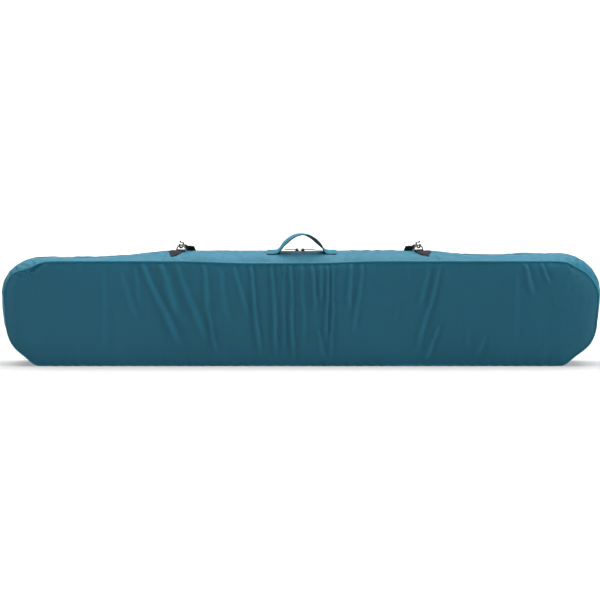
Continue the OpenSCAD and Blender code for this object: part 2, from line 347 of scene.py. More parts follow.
class Finish:
    """A material with one Principled shader, built node by node."""

    def __init__(self, name, color, roughness, **sockets):
        self.material = bpy.data.materials.new(name)
        self.material.use_nodes = True
        self.tree = self.material.node_tree
        self.shader = self.tree.nodes["Principled BSDF"]
        self.material.diffuse_color = (*color, 1)
        self.set("Base Color", (*color, 1))
        self.set("Roughness", roughness)
        for socket, value in sockets.items():
            self.set(socket.replace("_", " "), value)

    def set(self, socket, value):
        """Sets one socket of the shader, to a constant or to a Value."""
        self.feed(self.shader.inputs[socket], value)

    def feed(self, socket, value):
        """Links a Value to a socket, or stores a constant in it."""
        if isinstance(value, Value):
            self.tree.links.new(value.socket, socket)
        else:
            socket.default_value = value

    def node(self, kind, settings=None, sockets=None, out=0):
        """Adds a node: its settings first, then the values or links of its sockets."""
        made = self.tree.nodes.new(kind)
        for setting, value in (settings or {}).items():
            setattr(made, setting, value)
        for socket, value in (sockets or {}).items():
            self.feed(made.inputs[socket], value)
        return Value(self, made.outputs[out])

    def place(self, scale=(1, 1, 1), on_cloth=False):
        """Object coordinates, or the piece's own cloth coordinates, stretched by scale."""
        kind = "UV" if on_cloth else "Object"
        where = self.node("ShaderNodeTexCoord", out=kind)
        return self.node("ShaderNodeMapping", None, {"Vector": where, "Scale": scale})

    def noise(self, scale, detail=2.0, stretch=(1, 1, 1)):
        """Cloudy noise from 0 to 1, with scale clouds to the metre."""
        sockets = {"Vector": self.place(stretch), "Scale": scale, "Detail": detail}
        return self.node("ShaderNodeTexNoise", None, sockets, "Fac")

    def axis(self, name, on_cloth=False):
        """One coordinate of the place, in metres."""
        return self.node("ShaderNodeSeparateXYZ", None, {0: self.place(on_cloth=on_cloth)}, name)

    def tint(self, amount, light, dark):
        """Base colour between dark and light, by an amount from 0 to 1."""
        mix = self.tree.nodes.new("ShaderNodeMix")
        mix.data_type = "RGBA"
        self.feed(mix.inputs["Factor"], amount)
        mix.inputs[6].default_value = (*dark, 1)
        mix.inputs[7].default_value = (*light, 1)
        self.tree.links.new(mix.outputs[2], self.shader.inputs["Base Color"])

    def bump(self, height, depth):
        """Raises the surface by height, in metres once multiplied by depth."""
        normal = self.node("ShaderNodeBump", None, {"Height": height, "Distance": depth, "Strength": 1.0})
        self.set("Normal", normal)


# %% [markdown]
# The bag's cloth is a coated polyester with a soft shine: a fine plain weave, tiny crinkles left by the
# coating, and slow changes of tone where it has been handled. The weave is two crossed sine waves, because a
# woven thread really is a wave over and under its neighbours. One function makes every colour of this cloth.
# On the panels it also paints the light and shade of their folds: paler along the ridges, darker in the
# hollows.


# %% Finishes
def shade(color, factor):
    """A colour made lighter or darker."""
    return tuple(min(1.0, c * factor) for c in color)


def coated_cloth(name, color, roughness=0.42, paint_fold_shading=False):
    """Coated polyester: weave, crinkle and slow changes of tone. It may carry painted fold shading: ridges
    paler, hollows darker.
    """
    made = Finish(name, color, roughness, Specular_IOR_Level=0.15)
    thread = 2 * np.pi / 0.0009
    weave = (made.axis("X") * thread).sine() * (made.axis("Z") * thread).sine()
    crinkle = made.noise(70, 3.0, (1, 1, 0.55))
    tone = made.noise(5, 3.0)
    if paint_fold_shading:
        # Painted light and shade of the folds, stored on the panel: ridges paler, hollows darker.
        painted_fold_shading = made.node("ShaderNodeAttribute", {"attribute_name": "painted_fold_shading"}, out="Fac")
        made.tint(tone * 0.22 + crinkle * 0.1 + painted_fold_shading * 0.68, shade(color, 1.46), shade(color, 0.62))
    else:
        made.tint(tone * 0.7 + crinkle * 0.3, shade(color, 1.14), shade(color, 0.84))
    made.set("Roughness", roughness - 0.07 + crinkle * 0.16)
    made.bump(crinkle + weave * 0.06, 0.0011)
    return made.material


def woven_tape(name, color, roughness=0.62):
    """Webbing: twill ribs that run along the tape and small ribs across it."""
    made = Finish(name, color, roughness, Specular_IOR_Level=0.12, Sheen_Weight=0.02)
    along, across = made.axis("X", True), made.axis("Y", True)
    ribs = (across * (2 * np.pi / 0.0022) + along * (2 * np.pi / 0.0044)).sine()
    picks = (along * (2 * np.pi / 0.0013)).sine()
    fuzz = made.noise(900, 2.0)
    made.tint(ribs * 0.22 + picks * 0.12 + fuzz * 0.6, shade(color, 1.5), shade(color, 0.6))
    made.bump(ribs * 0.5 + picks * 0.25 + fuzz * 0.2, 0.00035)
    return made.material


def moulded(name, color, roughness, metallic=0.0, grain=0.00004):
    """Moulded plastic or painted metal with a fine grain and lightly rubbed patches."""
    made = Finish(name, color, roughness, Metallic=metallic, Coat_Roughness=0.25)
    rubbed = made.noise(60, 3.0)
    made.tint(rubbed, shade(color, 1.5), shade(color, 0.75))
    made.set("Roughness", roughness - 0.08 + rubbed * 0.2)
    made.bump(made.noise(2600, 1.0), grain)
    return made.material


# The gusset's teal is the panels' cloth made lighter: painted light from above, on top of the overhead lamp.
# Piping, handle and thread are shades of it.
TOP_LIT_TEAL = (0.0055, 0.105, 0.160)
DEEP_TEAL = (0.0088, 0.088, 0.136)
BLACK = (0.007, 0.0072, 0.009)
finishes = {
    # The panels carry painted light and shade along their folds.
    "panel_cloth": coated_cloth("panel_cloth", DEEP_TEAL, 0.46, True),
    "front_cloth": coated_cloth("front_cloth", shade(DEEP_TEAL, 1.05), 0.44, True),
    "gusset_cloth": coated_cloth("gusset_cloth", TOP_LIT_TEAL, 0.4),
    "piping_cloth": coated_cloth("piping_cloth", shade(TOP_LIT_TEAL, 1.1), 0.45),
    "handle_cloth": coated_cloth("handle_cloth", shade(TOP_LIT_TEAL, 1.05), 0.45),
    "lining_cloth": coated_cloth("lining_cloth", (0.055, 0.065, 0.07), 0.6),
    "foam": moulded("foam", (0.7, 0.7, 0.68), 0.9, grain=0.0002),
    "zip_tape": woven_tape("zip_tape", shade(DEEP_TEAL, 0.55)),
    "zip_coil": moulded("zip_coil", BLACK, 0.38),
    "webbing": woven_tape("webbing", BLACK),
    "zip_metal": moulded("zip_metal", (0.012, 0.0125, 0.014), 0.42, 0.2),
    "ring_metal": moulded("ring_metal", (0.11, 0.112, 0.118), 0.3, 0.85),
    "hook_plastic": moulded("hook_plastic", (0.006, 0.0062, 0.0075), 0.45),
    "thread": moulded("thread", shade(TOP_LIT_TEAL, 1.9), 0.7),
    "black_thread": moulded("black_thread", shade(BLACK, 3.5), 0.7),
}


def dress(piece, finish, body, *nodes):
    """Gives a piece its finish, hangs it on a body and lets it stand for its frame nodes."""
    piece.data.materials.clear()
    piece.data.materials.append(finishes[finish])
    if body:
        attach(piece, body)
    if nodes:
        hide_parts(*nodes)
    return piece


for part in frame["record"]["subparts"]:
    node = frame["nodes"][part["node"]]
    for index in range(max(1, len(node.material_slots))):
        if node.material_slots:
            node.material_slots[index].material = finishes[part["material_slot"]]

# %% [markdown]
# The shoulder strap hangs on the far side, from one hook to the other. Its route is a short list of points
# for the left half, mirrored for the right, and the corners between them are rounded by a running mean. The
# band's face looks up at the hooks and turns to lie on the panel on the way down.


# %% The shoulder strap
def route(points, step, width):
    """A smooth line through given points: cut into equal steps, then rounded."""
    return even(relaxed(even(np.array(points, dtype=float), step), width), step)


def frames(path, hint):
    """Sideways and upward directions along a path; hint is about upwards."""
    along = unit(np.gradient(path, axis=0))
    across = unit(np.cross(along, hint))
    return across, np.cross(across, along)


def belt(name, path, hint, width, thick, power=6.0, count=20):
    """A flat band of webbing along a path."""
    across, up = frames(path, hint)
    return sweep(name, path, across, up, ellipse(width, thick, count, power))


STRAP_WIDTH = 0.025
STRAP_THICK = 0.0018
STRAP_LEFT = [
    (-0.2996, 0.0162, 0.3162), (-0.297, 0.026, 0.3118), (-0.296, 0.037, 0.3057), (-0.295, 0.0495, 0.2982),
    (-0.293, 0.062, 0.289), (-0.288, 0.0705, 0.273), (-0.273, 0.0695, 0.242), (-0.253, 0.0695, 0.208),
    (-0.231, 0.0695, 0.173), (-0.208, 0.0695, 0.139), (-0.183, 0.0695, 0.107), (-0.135, 0.0695, 0.061),
    (-0.106, 0.0695, 0.045), (-0.072, 0.0695, 0.035), (-0.036, 0.0695, 0.030),
]
strap_path = route(STRAP_LEFT + [(0, 0.0695, 0.028)] + [(-x, y, z) for x, y, z in STRAP_LEFT[::-1]], 0.003, 9)
turned = ease((0.316 - strap_path[:, 2]) / 0.046)[:, None]
strap_face = (1 - turned) * np.array([0, 0, 1]) + turned * np.array([0, 1, 0])
strap = belt("shoulder_strap_webbing", strap_path, strap_face, STRAP_WIDTH, STRAP_THICK)
dress(strap, "webbing", None, "shoulder_strap")
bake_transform(strap)


def rod(name, path, radius, count=12, closed=False, hint=(0, 0, 1)):
    """A round rod along a path."""
    across, up = frames(path, np.array(hint, dtype=float))
    return sweep(name, path, across, up, ellipse(2 * radius, 2 * radius, count), closed)


def joined(name, pieces):
    """One object made of several meshes that touch or pass through each other."""
    target = pieces[0]
    target.name = name
    target.data.name = name
    with bpy.context.temp_override(active_object=target, selected_editable_objects=pieces):
        bpy.ops.object.join()
    return target


def loop(width, height, corner, count=8):
    """A closed rectangle with rounded corners, in its own plane."""
    a = np.linspace(0, np.pi / 2, count)
    centre = np.array([width / 2 - corner, height / 2 - corner])
    parts = []
    for k, signs in enumerate(((1, 1), (-1, 1), (-1, -1), (1, -1))):
        turn = a + k * np.pi / 2
        parts.append(centre * signs + corner * np.stack([np.cos(turn), np.sin(turn)], axis=1))
    return np.concatenate(parts)


# Each end of the band goes through a hook's eye, and its tail is doubled back on top.
TAIL_STEPS = np.arange(11)
TAIL_LIFT = 0.0019
BEND_RISE = 0.00105
BEND_REACH = 0.0026
for where, first, step in (("left", 0, 1), ("right", len(strap_path) - 1, -1)):
    tail_at = first + step * TAIL_STEPS
    tail_up = frames(strap_path, strap_face)[1][tail_at]
    tail_up = tail_up * np.sign(tail_up[:, 2:])
    tail_line = strap_path[tail_at] + TAIL_LIFT * tail_up
    turn = np.linspace(np.pi, 0, 7)[:-1, None]
    back = unit(strap_path[first] - strap_path[first + step])
    bend = strap_path[first] + BEND_RISE * (1 + np.cos(turn)) * tail_up[0] + BEND_REACH * np.sin(turn) * back
    tail_path = np.concatenate([bend, tail_line])
    tail = belt(f"shoulder_strap_tail_{where}", tail_path, strap_face[first], STRAP_WIDTH, STRAP_THICK)
    dress(tail, "webbing", "root")

# The adjuster is a frame round the band with two bars over it.
BAR_HALF = 0.0155
BAR_SHIFT = 0.0045
BAR_LIFT = 0.0022
left_half = strap_path[: len(strap_path) // 2]
at = int(np.abs(left_half - np.mean(STRAP_LEFT[10:12], axis=0)).sum(axis=1).argmin())
lengthwise = unit(strap_path[at + 2] - strap_path[at - 2])
outward = np.array([0, 1, 0])
crosswise = np.cross(lengthwise, outward)
frame_line = loop(0.024, 0.033, 0.003)
frame_path = strap_path[at] + frame_line[:, :1] * lengthwise + frame_line[:, 1:] * crosswise
adjuster_parts = [rod("frame", frame_path, 0.0019, 10, True, outward)]
for shift in (-BAR_SHIFT, BAR_SHIFT):
    bar_middle = strap_path[at] + shift * lengthwise + BAR_LIFT * outward
    bar = np.linspace(bar_middle - BAR_HALF * crosswise, bar_middle + BAR_HALF * crosswise, 8)
    adjuster_parts.append(rod("bar", bar, 0.0015, 8, False, outward))
adjuster = joined("strap_adjuster_frame", adjuster_parts)
dress(adjuster, "hook_plastic", "flap", "strap_adjuster")

# %% [markdown]
# Both panels have one outline: straight top and base, rounded top corners, sloped lower corners and ends that
# lean out a little. Arcs joined by straight lines draw it, and it is then cut into equal steps, so that
# stitches, zip teeth and folds can be placed by their distance along it.

# %% The outline
UPPER_R = 0.080
SIDE_R = 0.110
LOWER_R = 0.045
SIDE_CENTRE = (HALF_LEN - 0.116, 0.1156)
LOWER_CENTRE = (HALF_LEN - 0.096, LOWER_R)
TOP_HALF = HALF_LEN - UPPER_R
STEP = 0.003


def arc(centre, radius, start, end):
    """Points of an arc in the XZ plane, between two angles in degrees."""
    a = np.radians(np.linspace(start, end, 60))
    return np.stack([centre[0] + radius * np.cos(a), centre[1] + radius * np.sin(a)], axis=1)


right_end = np.concatenate(
    [
        arc(LOWER_CENTRE, LOWER_R, -90, -47),
        arc(SIDE_CENTRE, SIDE_R, -47, -4),
        arc((TOP_HALF, PANEL_H - UPPER_R), UPPER_R, -3, 90),
    ]
)


rim = even(np.concatenate([right_end * (-1, 1), right_end[::-1]]), STEP)
tangent = relaxed(unit(np.gradient(rim, axis=0)), 9)
rim_out = unit(np.stack([-tangent[:, 1], tangent[:, 0]], axis=1))
rim_s = np.arange(len(rim)) * STEP
print("rim", round(rim_s[-1], 3), "m, top corner at", round(TOP_HALF, 3))


def end_width(z):
    """Half the panel's length at height z."""
    return np.interp(z, right_end[:, 1], right_end[:, 0])


# %% [markdown]
# The gusset stands off the outline. It rises from the panel's seam to the zip, puffs a little in between, is
# highest in the middle of the bag and fades to nothing at the base. The ends are soft, so the seam itself
# draws back there and the panel's cloth rolls round with it.

# %% Form of the gusset
LEFT_ROLL = 0.024
RIGHT_ROLL = 0.008
HANDLE_X = (box("handle_cover")[0][0] + box("handle_cover")[1][0]) / 2


def seam_depth(x, z):
    """Depth of the panel's seam: SEAM_Y, less at the two soft ends."""
    left = LEFT_ROLL * ease((-x - HALF_LEN + 0.050) / 0.060) ** 1.3
    right = RIGHT_ROLL * ease((x - HALF_LEN + 0.11) / 0.12) ** 1.5
    return SEAM_Y - left - right


def tug(x, z):
    """Pull on the panel's edge, in x and z. The seam is drawn in at the top corners, most of all the left one,
    stretched outwards at the ends, and sags a little where the folds gather under the handle."""
    left = 0.017 * np.exp(-((np.hypot(x + 0.732, z - 0.268) / 0.036) ** 2))
    right = 0.009 * np.exp(-((np.hypot(x - 0.742, z - 0.262) / 0.032) ** 2))
    ends = ease((np.abs(x) - HALF_LEN + 0.09) / 0.09) * ease((0.25 - z) / 0.07) * ease(z / 0.06)
    outward = np.where(x > 0, 0.015, -0.009) * ends
    sag = (0.0042 - 0.005 * np.exp(-(((x + 0.055) / 0.19) ** 4))) * ease((z - 0.19) / 0.08)
    return 0.45 * left - 0.5 * right + outward, sag - 0.9 * left - 0.85 * right


def zip_rise(x, z):
    """Height of the zip line above the outline; the left end has sunk a little."""
    crest = END_RISE + (CREST_RISE - END_RISE) * ease((0.47 - np.abs(x)) / 0.13)
    crest = crest - 0.008 * ease((-x - 0.42) / 0.15) * ease((z - 0.18) / 0.09)
    return crest * ease(z / 0.15)


def puffing(x, z):
    """How far the cloth puffs out beside the zip: more at the right top corner, less under the handle."""
    corner = 0.003 * ease((x - 0.50) / 0.15) * ease(z / 0.25)
    handle = 1 - 0.35 * np.exp(-(((x - HANDLE_X) / 0.062) ** 4))
    return (PUFF * ease(z / 0.15) + corner) * handle


# %% [markdown]
# Folds give the bag its look. The cloth hangs from the handle and the top corners, so long shallow folds run
# down the panel: upright in the middle, and leaning inwards towards the base on either side. A fold is a low
# ridge with a hollow beside it. Cloth simulation would put them in random places, so each is laid one by one.

# %% Folds
FOLD_HEIGHT = 2.4e-3
FOLDS = [
    # top x, base x, top z, base z, height as a share of FOLD_HEIGHT, width in mm
    (-0.525, -0.520, 0.26, 0.03, 0.5, 14),
    (-0.475, -0.438, 0.25, 0.12, 0.7, 13),
    (-0.440, -0.428, 0.262, 0.16, 0.7, 10),
    (-0.420, -0.318, 0.27, 0.05, 1.5, 15),
    (-0.370, -0.325, 0.27, 0.13, 1.3, 17),
    (-0.328, -0.250, 0.27, 0.06, 1.1, 14),
    (-0.256, -0.246, 0.27, 0.14, 1.4, 11),
    (-0.246, -0.222, 0.15, 0.03, 1.2, 9),
    (-0.214, -0.192, 0.26, 0.11, 0.8, 14),
    (-0.176, -0.140, 0.27, 0.13, 1.1, 11),
    (-0.132, -0.106, 0.275, 0.02, 1.7, 8),
    (-0.074, -0.064, 0.275, 0.02, 1.6, 8),
    (-0.044, -0.043, 0.25, 0.03, 0.8, 7),
    (-0.024, -0.019, 0.275, 0.01, 1.7, 7),
    (0.004, 0.012, 0.27, 0.05, 0.9, 9),
    (0.034, 0.040, 0.275, 0.14, 1.4, 8),
    (0.056, 0.057, 0.275, 0.17, 1.0, 8),
    (0.075, 0.070, 0.275, 0.06, 1.6, 7),
    (0.090, 0.082, 0.26, 0.01, 1.3, 7),
    (0.046, 0.064, 0.10, 0.02, 0.9, 9),
    (0.137, 0.130, 0.275, 0.15, 1.5, 9),
    (0.166, 0.142, 0.27, 0.08, 1.2, 9),
    (0.262, 0.252, 0.17, 0.12, 0.6, 8),
    (0.340, 0.318, 0.26, 0.16, 1.0, 11),
    (0.374, 0.310, 0.265, 0.04, 1.5, 10),
    (0.372, 0.332, 0.11, 0.01, 1.4, 10),
    (0.450, 0.446, 0.10, 0.05, 0.6, 11),
    (0.492, 0.470, 0.08, 0.02, 0.7, 12),
    (0.578, 0.577, 0.25, 0.05, 0.4, 12),
    (0.598, 0.622, 0.27, 0.19, 1.3, 10),
    (0.644, 0.662, 0.275, 0.22, 1.2, 8),
]


def folds(x, z, seed):
    """Relief of all the folds: a narrow ridge less its two hollows, on a line that wanders by a few mm."""
    relief = np.zeros_like(x)
    for k, (top_x, base_x, top_z, base_z, height, width) in enumerate(FOLDS):
        t = (top_z - z) / (top_z - base_z)
        wander = 0.0014 * np.sin(z * (26 + 5 * (k % 5)) + 1.7 * k + seed) + 0.0005 * np.sin(z * 120 + 2.9 * k)
        off = x - top_x - (base_x - top_x) * t - wander
        w = width * 1e-3 * (0.62 + 0.35 * np.clip(t, 0, 1))
        held = ease(t / 0.12 + 0.35) * ease((1.06 - t) / 0.3)
        ridge = np.exp(-((off / w * 1.5) ** 2))
        hollows = 0.45 * np.exp(-(((off - 1.3 * w) / w) ** 2)) + 0.25 * np.exp(-(((off + 1.5 * w) / w) ** 2))
        relief += FOLD_HEIGHT * height * held * (ridge - hollows)
    return relief


CREASES = [
    # x and z of one end, x and z of the other, height in mm, width in mm
    (-0.676, 0.273, -0.708, 0.242, 3.2, 7.5),
    (-0.696, 0.274, -0.722, 0.250, -2.2, 6.5),
    (-0.739, 0.269, -0.724, 0.249, 2.6, 6.0),
    (-0.727, 0.274, -0.713, 0.256, -1.8, 5.0),
    (-0.757, 0.262, -0.744, 0.244, 1.9, 5.0),
    (-0.771, 0.248, -0.756, 0.235, 1.7, 4.5),
    (-0.779, 0.236, -0.763, 0.226, -1.5, 4.0),
    (0.728, 0.281, 0.744, 0.262, 2.2, 6.0),
    (0.748, 0.276, 0.757, 0.258, -1.8, 4.5),
    (0.716, 0.272, 0.730, 0.256, -1.2, 5.0),
    (0.766, 0.262, 0.768, 0.248, 1.5, 4.5),
]


def creases(x, z):
    """Relief of the short creases at the top corners, each along a straight line with soft ends."""
    relief = np.zeros(np.broadcast(x, z).shape)
    for x0, z0, x1, z1, height, width in CREASES:
        length = np.hypot(x1 - x0, z1 - z0)
        along = ((x - x0) * (x1 - x0) + (z - z0) * (z1 - z0)) / length**2
        aside = ((x - x0) * (z1 - z0) - (z - z0) * (x1 - x0)) / length
        ends = ease((along + 0.25) / 0.4) * ease((1.25 - along) / 0.5)
        relief += height * 1e-3 * ends * np.exp(-((aside / (width * 0.5e-3)) ** 2))
    return relief


def edge_distance(x, z):
    """Distance of each point from the outline, base included."""
    line = np.concatenate([rim, even(np.array([rim[-1], rim[0]]), 0.01)])[::3]
    nearest = np.full(x.shape, 9.0)
    for chunk in np.array_split(line, 12):
        gap = np.hypot(x[..., None] - chunk[:, 0], z[..., None] - chunk[:, 1]).min(axis=-1)
        nearest = np.minimum(nearest, gap)
    return nearest


# %% [markdown]
# A panel is a grid whose rows are level and whose ends follow the outline. Foam fills it, so it swells away
# from its seam within a few centimetres and then stays almost flat. Short gathers hang from the top seam,
# where more cloth was sewn in than the seam is long.

# %% The padded panels
ROWS, COLUMNS = 96, 420
SWELL = 0.0075
CREASED = 1.15
# Fold relief that sets how strongly the folds' light and shade are painted.
FULL_FOLD_SHADING = 0.0035


def panel_grid(seed, fold_share):
    """Points of a padded panel, and the painted fold shading there. Its rows are level between the two ends,
    and the depth is a formula of x and z."""
    z = PANEL_H * (0.5 - 0.5 * np.cos(np.pi * np.linspace(0.0, 1, ROWS)))[:, None]
    x = end_width(z) * np.linspace(-1, 1, COLUMNS)[None, :]
    z = z * np.ones_like(x)
    inside = edge_distance(x, z)
    swelling = SWELL * (1 - np.exp(-inside / 0.016))
    slow = 0.0012 * ripples(x, z * 0.6, seed, 0.45) + 0.0004 * ripples(x, z * 0.5, seed + 1, 0.09)
    below_top = PANEL_H - z
    gathers = np.sin(x * 2 * np.pi / 0.021 + 2.5 * ripples(x, z * 0.2, seed + 2, 0.16))
    gathers *= 0.0005 * (1 + np.exp(-((x / 0.28) ** 4))) * np.exp(-below_top / 0.02) * ease(below_top / 0.004)
    corner_x, corner_z = np.abs(x) - TOP_HALF + 0.01, z - PANEL_H + 0.05
    corner, spokes = np.hypot(corner_x, corner_z), np.arctan2(corner_z, corner_x)
    pucker = 0.0011 * np.sin(spokes * 17 + np.sign(x)) * np.exp(-(((corner - 0.06) / 0.03) ** 2))
    pucker *= ease((spokes + 0.1) / 0.4) * ease((1.7 - spokes) / 0.4)
    pull_x, pull_z = tug(x, z)
    folded = fold_share * folds(x, z, seed)
    relief = ease(inside / 0.02) * (slow + folded) + gathers + pucker * ease(inside / 0.01)
    relief += CREASED * creases(x + pull_x, z + pull_z)
    depth = seam_depth(x, z) + swelling + relief
    # Painted fold light and shade: high on the ridges, which paints them paler, and low in the hollows, which
    # paints them darker.
    painted_fold_shading = np.clip(0.42 + 0.5 * folded / FULL_FOLD_SHADING, 0, 1)
    return points_at(x + pull_x, -depth, z + pull_z), painted_fold_shading


for name, finish, body, side, seed, fold_share in (
    ("back_panel", "panel_cloth", "root", 1, 3, 1.0),
    ("front_panel", "front_cloth", "flap", -1, 11, 0.45),
):
    grid, painted_fold_shading = panel_grid(seed, fold_share)
    panel = cloth(f"{name}_cloth", grid * (1, side, 1), CLOTH, side)
    # The painted fold light and shade is kept on the points of both faces of the sheet.
    fold_shading_attribute = panel.data.attributes.new("painted_fold_shading", "FLOAT", "POINT")
    fold_shading_attribute.data.foreach_set("value", np.tile(painted_fold_shading.ravel(), 2))
    dress(panel, finish, body, name)
    print(name, grid.shape[0] * grid.shape[1], "points")

# %% [markdown]
# Each half of the gusset is three strips of cloth: a middle one and two that run round the ends, sewn together
# along slanted seams. A strip is a grid again, with one number along the outline and one from the panel's seam
# to the zip. Where the strip turns the top corners it has too much cloth, and gathers into spokes.

# %% The gusset
SEAM_X = 0.371
SEAM_SLANT = 0.026
ZIP_EDGE_Y = TAPE_Y - 0.0006
TOP_START = rim_s[np.argmax(rim[:, 1] > PANEL_H - 1e-5)]
ACROSS = 30


def skin(s, y, lift=0.0):
    """Point of the bag's skin at distance s along the rim and depth y, lifted along the outward normal."""
    x = np.interp(s, rim_s, rim[:, 0])
    z = np.interp(s, rim_s, rim[:, 1])
    out_x = np.interp(s, rim_s, rim_out[:, 0])
    out_z = np.interp(s, rim_s, rim_out[:, 1])
    v = np.clip(1 - np.abs(y) / seam_depth(x, z), 0, 1)
    off = zip_rise(x, z) * (1 - (1 - v) ** 2) + puffing(x, z) * np.sin(np.pi * v) + lift
    return points_at(x + out_x * off, y, np.maximum(z + out_z * off, 0.0002))


def rim_at(x):
    """Distance along the rim of the point above x on the straight top."""
    return TOP_START + x + TOP_HALF


SLANTS = [
    # x of the middle, lean towards the zip, height in mm
    (0.135, 0.03, 2.2), (0.165, 0.045, 1.8), (0.20, 0.035, 1.2), (-0.16, -0.03, 1.2),
    (-0.32, 0.025, 1.4), (0.33, -0.03, 1.4), (-0.27, 0.02, 0.8), (0.42, 0.02, 0.9),
]


def wrinkles(s, q, x, z, seed):
    """Relief of the gusset's cloth: gathers at the seam, spokes at the top corners and a few slanted folds."""
    gathers = 0.0009 * np.sin(2 * np.pi * s / 0.017 + 2 * ripples(s, q * 0.05, seed, 0.11)) * np.exp(-q / 0.16)
    gathers *= ease(q / 0.08)
    corner = np.exp(-(((np.abs(x) - HALF_LEN + 0.045) / 0.05) ** 2)) * ease((z - 0.16) / 0.06)
    spokes = np.sin(2 * np.pi * s / 0.024 + 3.1 * q + 1.4 * ripples(s, q * 0.06, seed + 1, 0.07))
    slow = 0.0010 * ripples(s, q * 0.05, seed + 2, 0.13) * (0.35 + 0.65 * ease(z / 0.2))
    fine = 0.0005 * ripples(s, q * 0.06, seed + 3, 0.035)
    slants = np.zeros_like(x)
    for at, lean, height in SLANTS:
        off = x - at - lean * (q - 0.5)
        ridge, hollow = np.exp(-((off / 0.006) ** 2)), np.exp(-(((off - 0.011) / 0.008) ** 2))
        slants += height * 1e-3 * (ridge - 0.5 * hollow)
    top = ease((z - PANEL_H + 0.002) / 0.001)
    held = np.sin(np.pi * np.clip(q, 0, 1)) ** 0.6
    return gathers * (1 - q) + 0.0030 * corner * spokes * held * (1 - q) + (slow + fine + slants * top) * held


def gusset_strip(first, last, first_slant, last_slant, seed, lap):
    """Grid of one strip between two places on the rim. Its ends may lean along the zip, and lap lifts them."""
    q = np.linspace(0, 1, ACROSS)[None, :]
    count = int((last - first) / 0.0035)
    share = np.linspace(0, 1, count)[:, None]
    start, finish = first + first_slant * q, last + last_slant * q
    s = start + (finish - start) * share
    x = np.interp(s, rim_s, rim[:, 0])
    z = np.interp(s, rim_s, rim[:, 1])
    edge = seam_depth(x, z)
    y = -(edge + (ZIP_EDGE_Y - edge) * q)
    pull_x, pull_z = tug(x, z)
    slack = (1 - q) ** 1.5
    pull = points_at(pull_x * slack, 0, pull_z * slack)
    smooth = skin(s, y) + pull
    near_end = np.minimum(s - start, finish - s)
    by_seam = ease(1.3 - near_end / 0.01) * ease(q / 0.05) * (z > PANEL_H - 0.001)
    sewn = by_seam * (lap + 0.0004 * np.sin(q * 44) * np.sin(np.pi * q))
    relief = wrinkles(s, q, x, z, seed) + creases(smooth[..., 0], smooth[..., 2]) + sewn
    return skin(s, y, relief) + pull


LENGTH = rim_s[-1]
LAP = 0.0008
UNDERLAP = 0.003
STRIPS = {
    # first and last place on the rim, how far each end leans, and the lap at its seams
    "left": (0, rim_at(-SEAM_X) + UNDERLAP, 0, SEAM_SLANT, -LAP),
    "top": (rim_at(-SEAM_X), rim_at(SEAM_X), SEAM_SLANT, -SEAM_SLANT, LAP),
    "right": (rim_at(SEAM_X) - UNDERLAP, LENGTH, -SEAM_SLANT, 0, -LAP),
}
HALVES = (("rear", 1, "root"), ("front", -1, "flap"))
STRIP_SEEDS = {"rear": 20, "front": 40}
strip_grids = {}
for where, (first, last, slant, slant_end, lap) in STRIPS.items():
    for half, side, body in HALVES:
        grid = gusset_strip(first, last, slant, slant_end, STRIP_SEEDS[half], lap) * (1, side, 1)
        strip_grids[where, half] = grid
        strip = cloth(f"gusset_{where}_{half}_cloth", grid, CLOTH, -side)
        dress(strip, "gusset_cloth", body, f"gusset_{where}_{half}")
print("gusset strips:", len(strip_grids))

# %% [markdown]
# The base is one more strip of the gusset, sewn to the back panel. It carries the bag's weight, so it lies
# flat.

# %% The base
base_low, base_high = box("gusset_bottom")
base_x = np.linspace(base_low[0], base_high[0], 160)[:, None]
base_y = np.linspace(base_low[1], base_high[1], 14)[None, :]
base_lift = 0.0016 + 0.0006 * ripples(base_x, base_y, 60, 0.2)
base = cloth("gusset_bottom_cloth", points_at(base_x, base_y, base_lift), CLOTH)
dress(base, "gusset_cloth", "root", "gusset_bottom")

# %% [markdown]
# Piping stiffens each panel's edge. A cord is wrapped in a strip of cloth and sewn into the seam, so what shows
# is a round bead that runs once round the outline. It follows the seam as that draws back at the soft ends.

# %% Piping
PIPE_R = 0.0026


def piping(name, side, finish, body, node):
    """A closed bead on the outline, proud of the panel's seam."""
    base_line = np.linspace(rim[-1] * (1, 0), rim[0] * (1, 0), 300)[1:-1]
    line = np.concatenate([rim, base_line])
    out = np.concatenate([rim_out, np.tile([0, -1], (len(base_line), 1))])
    for _ in range(3):
        out = unit((out + np.roll(out, 1, axis=0) + np.roll(out, -1, axis=0)) / 3)
    depth = seam_depth(line[:, 0], line[:, 1]) + 0.0020 + 0.0003 * ripples(line[:, 0], line[:, 1], 70, 0.05)
    centre = line - out * 0.0012
    z = np.maximum(centre[:, 1], PIPE_R + 0.0003)
    pull_x, pull_z = tug(line[:, 0], line[:, 1])
    path = points_at(centre[:, 0] + pull_x, side * depth, z + pull_z)
    across = points_at(out[:, 0], 0, out[:, 1])
    up = np.tile([0.0, side, 0.0], (len(path), 1))
    piece = sweep(name, path, across, up, ellipse(2 * PIPE_R, 2 * PIPE_R, 12), True)
    dress(piece, finish, body, node)


piping("back_piping_bead", -1, "piping_cloth", "root", "back_piping")
piping("front_piping_bead", 1, "piping_cloth", "flap", "front_piping")

# %% [markdown]
# The zip is a nylon coil on two woven tapes. Each half's coil is a row of small hooked teeth, and the two rows
# are half a pitch apart so that they mesh. The tapes run on under the gusset's edge, where they are sewn down.

# %% The zip
zip_low = box("zip_tape_rear")[0][2]
ZIP_START = float(np.interp(zip_low, rim[: len(rim) // 4, 1], rim_s[: len(rim) // 4]))
ZIP_END = LENGTH - ZIP_START
TOOTH_PITCH = 0.0024
END_OVERLAP = 0.004


def zip_band(name, first, last, count, outer, inner, lift, thick, side):
    """A flat strip along the zip, between two places on the rim and two depths on one side of it."""
    s = np.linspace(first, last, count)[:, None]
    y = -np.linspace(outer, inner, 6)[None, :]
    return cloth(name, skin(s, y, lift) * (1, side, 1), thick, -side)


